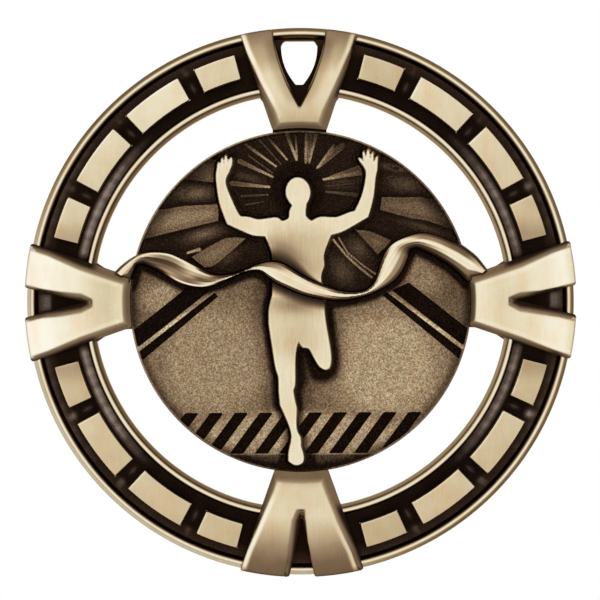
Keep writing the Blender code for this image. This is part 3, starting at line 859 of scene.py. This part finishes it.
def make_tape(material, runner_field):
    node = "finish_tape"
    top, foot = height_of(node), foot_of(node)
    loops = smooth_outline(node, top)
    field = outline_field(loops)
    sheet = sheet_over(loops, TAPE_SPACING, 0.4)
    sheet.cut(field, TAPE_BEVEL, 0.06, 0.0, -0.07, -0.15).keep(field, TAPE_BEVEL)
    value = field(sheet.points)
    rows = curve_through(TAPE_STATIONS, 4)
    across, segment, share = across_tape(sheet.points, np.maximum(-value, 0), rows)
    shades = np.zeros(len(value))
    for i, (low, high) in enumerate(zip(ACROSS_TAPE, ACROSS_TAPE[1:])):
        here = (across >= low) & (across <= high)
        t = ease(low + 0.05, high - 0.05, across[here])
        k = segment[here]
        lower = rows[k, i + 2] + share[here] * (rows[k + 1, i + 2] - rows[k, i + 2])
        upper = rows[k, i + 3] + share[here] * (rows[k + 1, i + 3] - rows[k, i + 3])
        shades[here] = lower + t * (upper - lower)
    shades += 0.6 * (ease(0.15, 0.95, shades) - shades) - 0.07 * shades
    edge = ease(-0.06, TAPE_BEVEL, value)
    heights = top - TAPE_DEPTH * (1 - shades) - TAPE_EDGE_DROP * edge * edge
    shades += 0.025 * np.sin(36 * across) * (1 - edge)
    shades *= 1 - 0.75 * edge
    rim = value > TAPE_BEVEL - 0.01
    lap = rim & (runner_field(sheet.points) < RUNNER_DRAFT + LAP_GAP)
    feet = np.where(lap, top - TAPE_LAP_DEPTH, foot)
    return make_piece(node, sheet, heights, shades, feet, material)


# Runner

RUNNER_SPACING = 0.14
RUNNER_DRAFT = 0.3
LAP_GAP = 0.03
RUNNER_LAP_DEPTH = 0.45
RUNNER_ROLL = 0.3
RUNNER_ROLL_DROP = 0.1
RUNNER_SHOULDER = 0.12
# The hollow beside the tape
SHADOW_DROP = 0.12
SHADOW_SHADE = 0.14


def make_runner(material, field, tape_field):
    node = "runner"
    top, foot = height_of(node), foot_of(node)
    loops = cad_outline(node, foot)
    lap_edge = TAPE_BEVEL + LAP_GAP
    sheet = sheet_over(loops, RUNNER_SPACING, 0.5)
    sheet.cut(field, RUNNER_DRAFT, 0.0, -0.1, -0.25).keep(field, RUNNER_DRAFT)
    sheet.cut(tape_field, lap_edge + 0.05, lap_edge)
    value = field(sheet.points)
    depth = np.maximum(-value, 0)
    gap = tape_field(sheet.points) - TAPE_BEVEL
    x, z = sheet.points.T
    above = z > np.interp(x, (-4, -2, 0, 2, 4), (3.4, 3.2, 2.1, 1.2, 0.8))
    start = np.where(above, steps_through(x, (-3, 0.1), (0.5, 0.0), (2.2, -0.2)), 0.15)
    fade = np.where(above, steps_through(x, (-3, 1.6), (-0.5, 1.3), (1.0, 0.7), (2.0, 0.4)), 1.2)
    shadow = (1 - ease(start, start + fade, gap)) * (abs(x) < 4.5)
    above_tape = glow(sheet.points, (-1.5, 5.1), (2.6, 1.2), -38)
    below_tape = glow(sheet.points, (-0.4, -0.4), (2.6, 1.0))
    flank = np.maximum(above_tape, below_tape)
    chest = 1 - ease(1.5, 4.5, np.hypot(x / 1.3, z - 5.0))
    shades = 0.88 - 0.11 * chest - 0.05 * ease(-4, 0, z) * (z < 0.5)
    shades -= 0.26 * flank * (abs(x) < 3.6) + 0.11 * glow(sheet.points, (-0.4, -4.2), (2.4, 2.2))
    shades += (SHADOW_SHADE - shades) * shadow
    heights = top - RUNNER_ROLL_DROP * dome(depth, RUNNER_ROLL) - SHADOW_DROP * shadow
    # Painted highlight along the rounded edges
    shades += 0.04 * (1 - ease(0.12, 0.35, depth)) * (1 - shadow)
    # Painted light: walls facing right are paler, walls facing left darker
    right = facing(field, sheet.points, value, (0.93, -0.37))
    wall = 0.44 + 0.28 * right - 0.1 * np.maximum(value, 0) / RUNNER_DRAFT
    shades += (wall - shades) * ease(-0.03, 0.06, value)
    shoulder = top - RUNNER_SHOULDER
    heights = np.where(value > 0, shoulder - (shoulder - foot) * value / RUNNER_DRAFT, heights)
    heights = np.where(gap < LAP_GAP + 0.01, np.minimum(heights, top - RUNNER_LAP_DEPTH), heights)
    heights = np.maximum(heights, foot + 0.02)
    return make_piece(node, sheet, heights, shades, foot, material)


# Centre disc: a lit sky of rays and panels behind the runner, and the road in front

DISC_SPACING = 0.17
GROOVE_WALL = 0.1
GROOVE_DEPTH = 0.3
EDGE_ROLL = 0.22
EDGE_ROLL_DROP = 0.1
GROOVE_SHADE = 0.03
EDGE_SHADE = 0.5
SKY_DEPTH = 0.22
PANEL_RISE = 0.1
# The line where the sky meets the road, as (x, z)
SKY_FLOOR = (
    (-19, 4.3), (-16, 4.7), (-12, 3.0), (-8, 2.8), (-5, 3.6), (0, 1.9), (5, 0.6), (8, 1.3), (9.5, 3.5),
    (11, 6.2), (13, 6.7), (16, 5.7), (19, 3.6),
)
# Raised panels as a shade and an outline of (x, z)
PANELS = (
    (0.44, ((-12.9, 13.5), (-9.5, 13.1), (-8.9, 15.3), (-10.6, 15.7))),
    (0.54, ((-15.6, 10.05), (-9.0, 10.65), (-9.0, 8.9), (-15.0, 7.45), (-17.5, 6.8))),
    (0.50, ((-11.9, 4.9), (-8.2, 6.95), (-6.0, 6.9), (-9.0, 4.3), (-10.4, 3.8))),
    (0.43, ((9.0, 11.35), (11.5, 11.3), (15.0, 11.0), (17.6, 7.4), (14.0, 8.75), (12.4, 9.0), (8.8, 10.0))),
    (0.43, ((6.1, 7.8), (7.7, 7.6), (9.9, 6.6), (9.3, 5.9), (8.5, 5.1))),
)
# Rays as a shade at their inner end, a shade at their outer end, and rows of (x, z, half width)
RAYS = (
    (0.66, 0.34, ((-3.35, 12.55, 0.1), (-7.4, 12.95, 0.26))),
    (0.68, 0.36, ((-2.95, 13.65, 0.08), (-6.6, 15.4, 0.24))),
    (0.68, 0.44, ((-2.6, 14.8, 0.08), (-5.9, 17.2, 0.16))),
    (0.66, 0.38, ((-1.4, 15.55, 0.08), (-3.5, 18.0, 0.14))),
    (0.70, 0.46, ((-0.35, 15.5, 0.1), (-1.4, 18.3, 0.17))),
    (0.56, 0.40, ((-0.3, 15.7, 0.06), (-0.45, 18.2, 0.1))),
    (0.66, 0.52, ((0.62, 15.2, 0.07), (0.68, 18.3, 0.1))),
    (0.62, 0.48, ((1.05, 15.2, 0.07), (1.85, 18.2, 0.12))),
    (0.44, 0.40, ((0.84, 15.4, 0.1), (1.25, 18.2, 0.32))),
    (0.68, 0.40, ((1.9, 14.6, 0.08), (3.75, 17.1, 0.13))),
    (0.46, 0.34, ((2.1, 14.7, 0.1), (4.7, 17.1, 0.4))),
    (0.70, 0.36, ((2.6, 13.35, 0.1), (6.6, 14.0, 0.2))),
    (0.44, 0.30, ((3.4, 13.65, 0.1), (6.4, 14.5, 0.3))),
    (0.36, 0.22, ((2.9, 12.0, 0.1), (6.1, 11.65, 0.22))),
    (0.26, 0.20, ((3.0, 12.6, 0.06), (6.0, 12.9, 0.1))),
    (0.34, 0.24, ((-3.5, 11.7, 0.06), (-6.4, 11.55, 0.14))),
    (0.30, 0.24, ((-3.9, 10.95, 0.05), (-6.0, 10.6, 0.12))),
    (0.36, 0.26, ((-3.0, 14.1, 0.05), (-5.6, 16.0, 0.08))),
    (0.36, 0.26, ((-2.1, 15.1, 0.05), (-4.4, 17.7, 0.08))),
    (0.70, 0.60, ((-12.35, 5.35, 0.1), (-11.1, 5.75, 0.16))),
    (0.62, 0.50, ((3.65, 6.7, 0.09), (5.1, 4.9, 0.09), (6.3, 3.8, 0.1), (7.8, 2.6, 0.1))),
    (0.56, 0.46, ((4.25, 6.9, 0.07), (5.2, 5.3, 0.07), (7.0, 3.8, 0.08), (8.3, 2.9, 0.07))),
)
# Rubbed patches between the panels and on the road, as a shade, centre, radii and turn
SKY_GLOWS = (
    (0.42, (-11.4, 11.9), (1.9, 0.75), 4),
    (0.44, (-10.6, 7.4), (1.9, 0.65), 16),
    (0.26, (-8.0, 4.9), (1.6, 0.7), 35),
    (0.30, (11.4, 12.8), (1.5, 0.8), -10),
    (0.34, (10.2, 14.6), (1.6, 0.35), -12),
    (0.30, (6.4, 5.7), (1.3, 1.0), -50),
    (0.30, (4.6, 3.3), (1.1, 1.6), 40),
    (0.24, (4.6, 12.9), (1.8, 0.5), 5),
    (0.26, (-5.6, 13.6), (1.6, 0.4), -15),
    (0.24, (13.5, 8.0), (2.6, 0.5), -20),
)
ROAD_GLOWS = (
    (0.60, (-9.3, -6.6), (6.6, 6.6), 40),
    (0.66, (9.2, -7.0), (6.4, 6.2), -40),
    (0.60, (-15.4, 0.4), (2.0, 1.7), 20),
    (0.54, (13.0, 2.7), (2.6, 1.5), -40),
    (0.46, (-6.6, 0.2), (2.6, 1.3), 0),
    (0.46, (6.5, -1.6), (2.4, 1.4), -20),
    (0.64, (0.0, -14.4), (14.0, 2.4), 0),
)
ROAD_SHADE = 0.36
# The pale ridge along each side of the road, as rows of (x, z, half width)
RIDGE = ((9.5, 0.95, 0.1), (17.8, -5.15, 0.26))


def sky_look(points, panels, edge):
    """Shades of the sky, and how far each point is raised on a panel or a ray, from 0 to 1."""
    x, z = points.T
    dark_sky = 0.1 - 0.05 * (1 - ease(2.6, 3.4, np.hypot(x + 0.2, z - 12.2)))
    shades = dark_sky
    for shade, centre, radii, turn in SKY_GLOWS:
        patch = dark_sky + (shade - dark_sky) * glow(points, centre, radii, turn)
        shades = np.maximum(shades, patch)
    lift = np.zeros(len(points))
    for (shade, _), field in zip(PANELS, panels):
        value = field(points)
        inside = 1 - ease(0.0, 0.1, value)
        # Each panel is paler inwards from its edge, with a paler band just inside the edge
        panel_grade = 0.72 + 0.28 * ease(0.0, 0.9, -value) + 0.12 * (value > -0.25)
        shades += (shade * panel_grade - shades) * inside
        shades -= 0.06 * (value > 0.1) * (1 - ease(0.1, 0.7, value))
        lift = np.maximum(lift, inside)
    for inner, outer, rows in RAYS:
        value = stroke(points, rows)
        start, end = np.array(rows[0][:2]), np.array(rows[-1][:2])
        along = np.clip((points - start) @ (end - start) / ((end - start) ** 2).sum(), 0, 1)
        inside = 1 - ease(0.0, 0.1, value)
        # Painted highlights: each ray is paler along its edges than in its middle
        middle = ease(0.08, 0.25, -value)
        shade = (inner + (outer - inner) * along) * (1 - 0.3 * middle)
        shades += (shade - shades) * inside * (shade > shades)
        lift = np.maximum(lift, inside)
    shades -= 0.24 * (1 - ease(0.4, 2.2, edge)) * (shades > 0.3)
    return np.maximum(shades, 0.04), lift


def road_shades(points, in_groove, edge, figure, tape):
    """Shades of the road: pale from rubbing at both sides, dark round the runner and along the tape."""
    x, z = points.T
    shades = np.full(len(points), ROAD_SHADE)
    for shade, centre, radii, turn in ROAD_GLOWS:
        patch = np.clip(1.6 * glow(points, centre, radii, turn), 0, 1)
        shades = np.maximum(shades, ROAD_SHADE + (shade - ROAD_SHADE) * patch)
    mirrored = np.stack([abs(x), z], axis=1)
    ridge = 1 - ease(-0.05, 0.1, stroke(mirrored, RIDGE))
    ridge_shade = 0.6 + 0.2 * glow(mirrored, (14.5, -2.6), (2.6, 2.2))
    shades += (ridge_shade - shades) * ridge * (1 - in_groove)
    shades -= 0.2 * (1 - ease(0.2, 1.3, edge)) * (1 - ridge)
    shades -= 0.22 * (z < -16.8)
    right_of_leg = ease(0.3, 1.5, x)
    halo = 0.4 + 0.35 * right_of_leg + 0.9 * glow(points, (1.6, -8.4), (2.2, 1.5))
    halo += 0.5 * glow(points, (0.2, -6.6), (1.0, 1.2))
    halo += 0.3 * (1 - ease(-17.0, -15.5, z))
    shades -= (0.34 + 0.12 * right_of_leg) * (1 - ease(0.1 * halo, halo + 0.3, figure))
    shades -= 0.1 * (1 - ease(0.6, 2.4, figure)) * (z > -12)
    shades -= 0.5 * (1 - ease(0.2, 1.0, tape)) * (1 - in_groove)
    return np.maximum(shades, 0.05)


def make_disc(material, runner_field, tape_field):
    node = "centre_disc"
    top, foot = height_of(node), foot_of(node)
    disc_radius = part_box(node)[1].x / MM
    rims = [loop for loop in cad_outline(node, top) if np.ptp(loop, axis=0).max() < disc_radius]
    groove = outline_field(rims)
    panels = [outline_field([smoothed(np.array(outline), 1, 60)]) for _, outline in PANELS]

    def round_edge(points):
        return np.hypot(*points.T) - disc_radius

    def raised(points):
        gaps = [field(points) for field in panels]
        gaps += [stroke(points, rows) for *_, rows in RAYS]
        return np.min(gaps, axis=0)

    reach = disc_radius + 0.3
    sheet = grid_sheet((-reach, -reach), (reach, reach), DISC_SPACING)
    sheet.cut(round_edge, 0.0).keep(round_edge, 0.0)
    sheet.cut(groove, 0.0, -GROOVE_WALL).cut(round_edge, -0.08, -EDGE_ROLL)
    sheet.cut(raised, 0.0, 0.1)
    points = sheet.points
    x, z = points.T
    edge = -round_edge(points)
    in_groove = ease(0, GROOVE_WALL, -groove(points))
    figure = runner_field(points) - RUNNER_DRAFT
    tape = tape_field(points) - TAPE_BEVEL
    sky = z > np.interp(x, *zip(*SKY_FLOOR))
    sky_shades, lift = sky_look(points, panels, edge)
    shades = np.where(sky, sky_shades, road_shades(points, in_groove, edge, figure, tape))
    shades += (GROOVE_SHADE - shades) * in_groove
    # Painted light: the rolled edge round the disc is paler towards the upper left
    rolled = 1 - ease(0.1, EDGE_ROLL + 0.04, edge)
    upper_left = ease(-0.3, 0.7, (z - x) / (1.414 * disc_radius))
    shades += (EDGE_SHADE + 0.2 * upper_left - shades) * rolled
    heights = top - GROOVE_DEPTH * in_groove - EDGE_ROLL_DROP * dome(edge, EDGE_ROLL)
    clear = ease(0.1, 0.3, np.minimum(figure, tape))
    heights -= (SKY_DEPTH - PANEL_RISE * lift) * sky * clear * ease(0.2, 0.4, edge)
    grain = 1 - 0.5 * rolled
    return make_piece(node, sheet, heights, shades, foot, material, foot_shade=0.3, grain=grain)


# Materials


def linear(red, green, blue):
    """A screen colour from 0 to 255, as Blender's linear colour."""

    def channel(value):
        value /= 255
        return value / 12.92 if value <= 0.04045 else ((value + 0.055) / 1.055) ** 2.4

    return (channel(red), channel(green), channel(blue), 1)


ANTIQUE_TONES = (
    (0.00, (16, 8, 5)),
    (0.13, (42, 29, 21)),
    (0.30, (82, 66, 51)),
    (0.45, (120, 98, 73)),
    (0.60, (160, 137, 108)),
    (0.75, (200, 180, 143)),
    (0.88, (230, 218, 185)),
    (1.00, (250, 245, 228)),
)
# The greyer colour of the painted glints, small reflections in the channel and the windows
GLINT_TONES = (
    (0.00, (16, 8, 8)),
    (0.30, (79, 66, 58)),
    (0.60, (156, 139, 127)),
    (1.00, (242, 238, 230)),
)
# The metal's colour at a grazing angle, and where the copper under the plating shows
EDGE_TINT = (0.6, 0.5, 0.36, 1)
COPPER_TINT = (1.0, 0.9, 0.84, 1)


class Nodes:
    """Short names for building one node tree."""

    def __init__(self, tree):
        self.tree = tree

    def add(self, kind, **settings):
        node = self.tree.nodes.new(kind)
        for name, value in settings.items():
            setattr(node, name, value)
        return node

    def join(self, source, target):
        self.tree.links.new(source, target)

    def put(self, value, target):
        """Links a socket, or sets a plain value."""
        if isinstance(value, bpy.types.NodeSocket):
            self.join(value, target)
        else:
            target.default_value = value

    def math(self, operation, *values, clamp=False):
        """One sum on sockets or plain values."""
        node = self.add("ShaderNodeMath", operation=operation, use_clamp=clamp)
        for socket, value in zip(node.inputs, values):
            self.put(value, socket)
        return node.outputs[0]

    def mix(self, factor, first, second, blend_type="MIX"):
        """One colour laid over another."""
        node = self.add("ShaderNodeMixRGB", blend_type=blend_type)
        for name, value in ("Fac", factor), ("Color1", first), ("Color2", second):
            self.put(value, node.inputs[name])
        return node.outputs["Color"]

    def fade(self, value, *steps):
        """A smooth change between two steps of (value, result)."""
        node = self.add("ShaderNodeMapRange", interpolation_type="SMOOTHSTEP")
        self.join(value, node.inputs["Value"])
        for side, (place, result) in zip(("Min", "Max"), steps):
            node.inputs["From " + side].default_value = place
            node.inputs["To " + side].default_value = result
        return node.outputs["Result"]

    def attribute(self, name):
        return self.add("ShaderNodeAttribute", attribute_name=name).outputs["Fac"]

    def noise(self, scale, detail=2.0, roughness=0.5):
        """Noise in object space, with a scale for each axis in features per metre."""
        coordinates = self.add("ShaderNodeTexCoord").outputs["Object"]
        mapping = self.add("ShaderNodeMapping")
        mapping.inputs["Scale"].default_value = scale
        self.join(coordinates, mapping.inputs["Vector"])
        noise = self.add("ShaderNodeTexNoise")
        for name, value in ("Scale", 1.0), ("Detail", detail), ("Roughness", roughness):
            noise.inputs[name].default_value = value
        self.join(mapping.outputs["Vector"], noise.inputs["Vector"])
        return noise.outputs["Fac"]

    def ramp(self, value, stops):
        """A colour from stops of (value, screen colour)."""
        node = self.add("ShaderNodeValToRGB")
        elements = node.color_ramp.elements
        while len(elements) < len(stops):
            elements.new(0.5)
        for element, (place, colour) in zip(elements, stops):
            element.position = place
            element.color = linear(*colour)
        self.join(value, node.inputs["Fac"])
        return node.outputs["Color"]


def antique_brass(name, streak=0.05, speck=0.05, roughness=0.34):
    """Antique brass plating coloured by the shade attribute: pale where it is polished by rubbing, dark
    where patina stays in the recesses, and lit or shaded where the shades hold painted light, shade and
    glints.
    """
    made = bpy.data.materials.new(name)
    made.use_nodes = True
    nodes = Nodes(made.node_tree)
    shader = made.node_tree.nodes["Principled BSDF"]
    shade, grain = nodes.attribute("shade"), nodes.attribute("grain")
    brushed = nodes.math("SUBTRACT", nodes.noise((9000, 9000, 420), 2.0), 0.5)
    blasted = nodes.math("SUBTRACT", nodes.noise((6500, 6500, 6500), 1.0, 0.6), 0.5)
    blotched = nodes.math("SUBTRACT", nodes.noise((420, 420, 420), 3.0), 0.5)
    strength = nodes.math("MULTIPLY", nodes.math("MULTIPLY_ADD", shade, 1.0, 0.4), speck * 9)
    strength = nodes.math("MULTIPLY_ADD", grain, strength, speck)
    tone = nodes.math("MULTIPLY_ADD", brushed, nodes.math("MULTIPLY_ADD", grain, -streak, streak), shade)
    tone = nodes.math("MULTIPLY_ADD", blasted, strength, tone)
    tone = nodes.math("MULTIPLY_ADD", blotched, 0.09, tone, clamp=True)
    # Painted glints take the greyer glint tones
    warm, glint_tint = nodes.ramp(tone, ANTIQUE_TONES), nodes.ramp(tone, GLINT_TONES)
    colour = nodes.mix(nodes.attribute("glint_tint"), warm, glint_tint)
    copper = nodes.math("MULTIPLY_ADD", nodes.noise((700, 700, 260), 3.0), 4.0, -1.8, clamp=True)
    colour = nodes.mix(nodes.math("MULTIPLY", copper, shade), colour, COPPER_TINT, "MULTIPLY")
    nodes.join(colour, shader.inputs["Base Color"])
    shader.inputs["Metallic"].default_value = 1.0
    shader.inputs["Specular Tint"].default_value = EDGE_TINT
    rough = nodes.math("MULTIPLY_ADD", grain, 0.12, roughness)
    rough = nodes.math("MULTIPLY_ADD", blotched, 0.12, rough)
    nodes.join(rough, shader.inputs["Roughness"])
    relief = nodes.math("MULTIPLY_ADD", brushed, 0.25, nodes.math("MULTIPLY", blasted, grain))
    bump = nodes.add("ShaderNodeBump")
    bump.inputs["Strength"].default_value = 0.5
    bump.inputs["Distance"].default_value = 0.00003
    nodes.join(relief, bump.inputs["Height"])
    nodes.join(bump.outputs["Normal"], shader.inputs["Normal"])
    return made


# Stage

CAMERA_LENS = 150
FIELD_WIDTH = 65.45
CAMERA_OFFSET = (-0.055, 0.131)
CAMERA_ROLL = 0.3
FLOOR_GAP = 8.0
FLOOR_RADIUS = 44.0


def make_camera():
    data = bpy.data.cameras.new("camera")
    data.lens = CAMERA_LENS
    camera = bpy.data.objects.new("camera", data)
    distance = FIELD_WIDTH * CAMERA_LENS / data.sensor_width
    camera.location = (CAMERA_OFFSET[0] * MM, -distance * MM - BACK * MM, CAMERA_OFFSET[1] * MM)
    camera.rotation_euler = (math.radians(90), math.radians(CAMERA_ROLL), 0)
    data.clip_start = 0.001
    data.clip_end = 10
    bpy.context.scene.collection.objects.link(camera)
    bpy.context.scene.camera = camera


def make_floor():
    """A pale round floor that fades into the white around it."""
    radius = FLOOR_RADIUS * MM
    low = cad_box[0].z - FLOOR_GAP * MM
    sheet = polar_sheet(np.linspace(0.1, 1, 10) * radius, 64)
    mesh = bpy.data.meshes.new("floor")
    places = np.column_stack([sheet.points, np.full(len(sheet.points), low)])
    mesh.from_pydata(places.tolist(), [], sheet.triangles.tolist())
    floor = bpy.data.objects.new("floor", mesh)
    bpy.context.scene.collection.objects.link(floor)
    made = bpy.data.materials.new("floor")
    made.use_nodes = True
    nodes = Nodes(made.node_tree)
    shader = made.node_tree.nodes["Principled BSDF"]
    shader.inputs["Base Color"].default_value = (0.93, 0.93, 0.93, 1)
    shader.inputs["Roughness"].default_value = 0.9
    place = nodes.add("ShaderNodeNewGeometry").outputs["Position"]
    length = nodes.add("ShaderNodeVectorMath", operation="LENGTH")
    nodes.join(place, length.inputs[0])
    fade = nodes.fade(length.outputs["Value"], (0.45 * radius, 1), (radius, 0))
    nodes.join(fade, shader.inputs["Alpha"])
    mesh.materials.append(made)


def make_world():
    """Soft white light from all round, strongest from in front, and plain white behind the object."""
    world = bpy.data.worlds.new("studio")
    bpy.context.scene.world = world
    world.use_nodes = True
    nodes = Nodes(world.node_tree)
    background = world.node_tree.nodes["Background"]
    direction = nodes.add("ShaderNodeTexCoord").outputs["Generated"]
    parts = nodes.add("ShaderNodeSeparateXYZ")
    nodes.join(direction, parts.inputs[0])
    front = nodes.fade(parts.outputs["Y"], (-0.9, 1.03), (0.1, 0.5))
    rear = nodes.fade(parts.outputs["Y"], (0.2, 0.0), (0.9, 0.45))
    light = nodes.math("ADD", front, rear)
    seen = nodes.add("ShaderNodeLightPath").outputs["Is Camera Ray"]
    level = nodes.math("ADD", nodes.math("MULTIPLY", light, nodes.math("SUBTRACT", 1.0, seen)), seen)
    nodes.join(level, background.inputs["Strength"])
    background.inputs["Color"].default_value = (1, 1, 1, 1)


# Build

satin = antique_brass("satin_antique_brass")
brushed = antique_brass("brushed_antique_brass", streak=0.1)
blasted = antique_brass("blasted_antique_brass", streak=0.02, speck=0.07, roughness=0.42)
polished = antique_brass("polished_antique_brass", streak=0.03, speck=0.04, roughness=0.28)

make_ring(polished)
for quarter, shades in TILE_SHADES.items():
    for i, shade in enumerate(shades):
        make_tile(f"tile_{quarter}_{i + 1}", shade, satin)
for side in ("top", "left", "bottom", "right"):
    make_bracket("bracket_" + side, satin)

tape_field = outline_field(smooth_outline("finish_tape", height_of("finish_tape")))
runner_field = outline_field(smooth_outline("runner", foot_of("runner")))
make_tape(polished, runner_field)
make_runner(brushed, runner_field, tape_field)
make_disc(blasted, runner_field, tape_field)

make_world()
make_floor()
make_camera()
bpy.context.scene.view_settings.view_transform = "Standard"
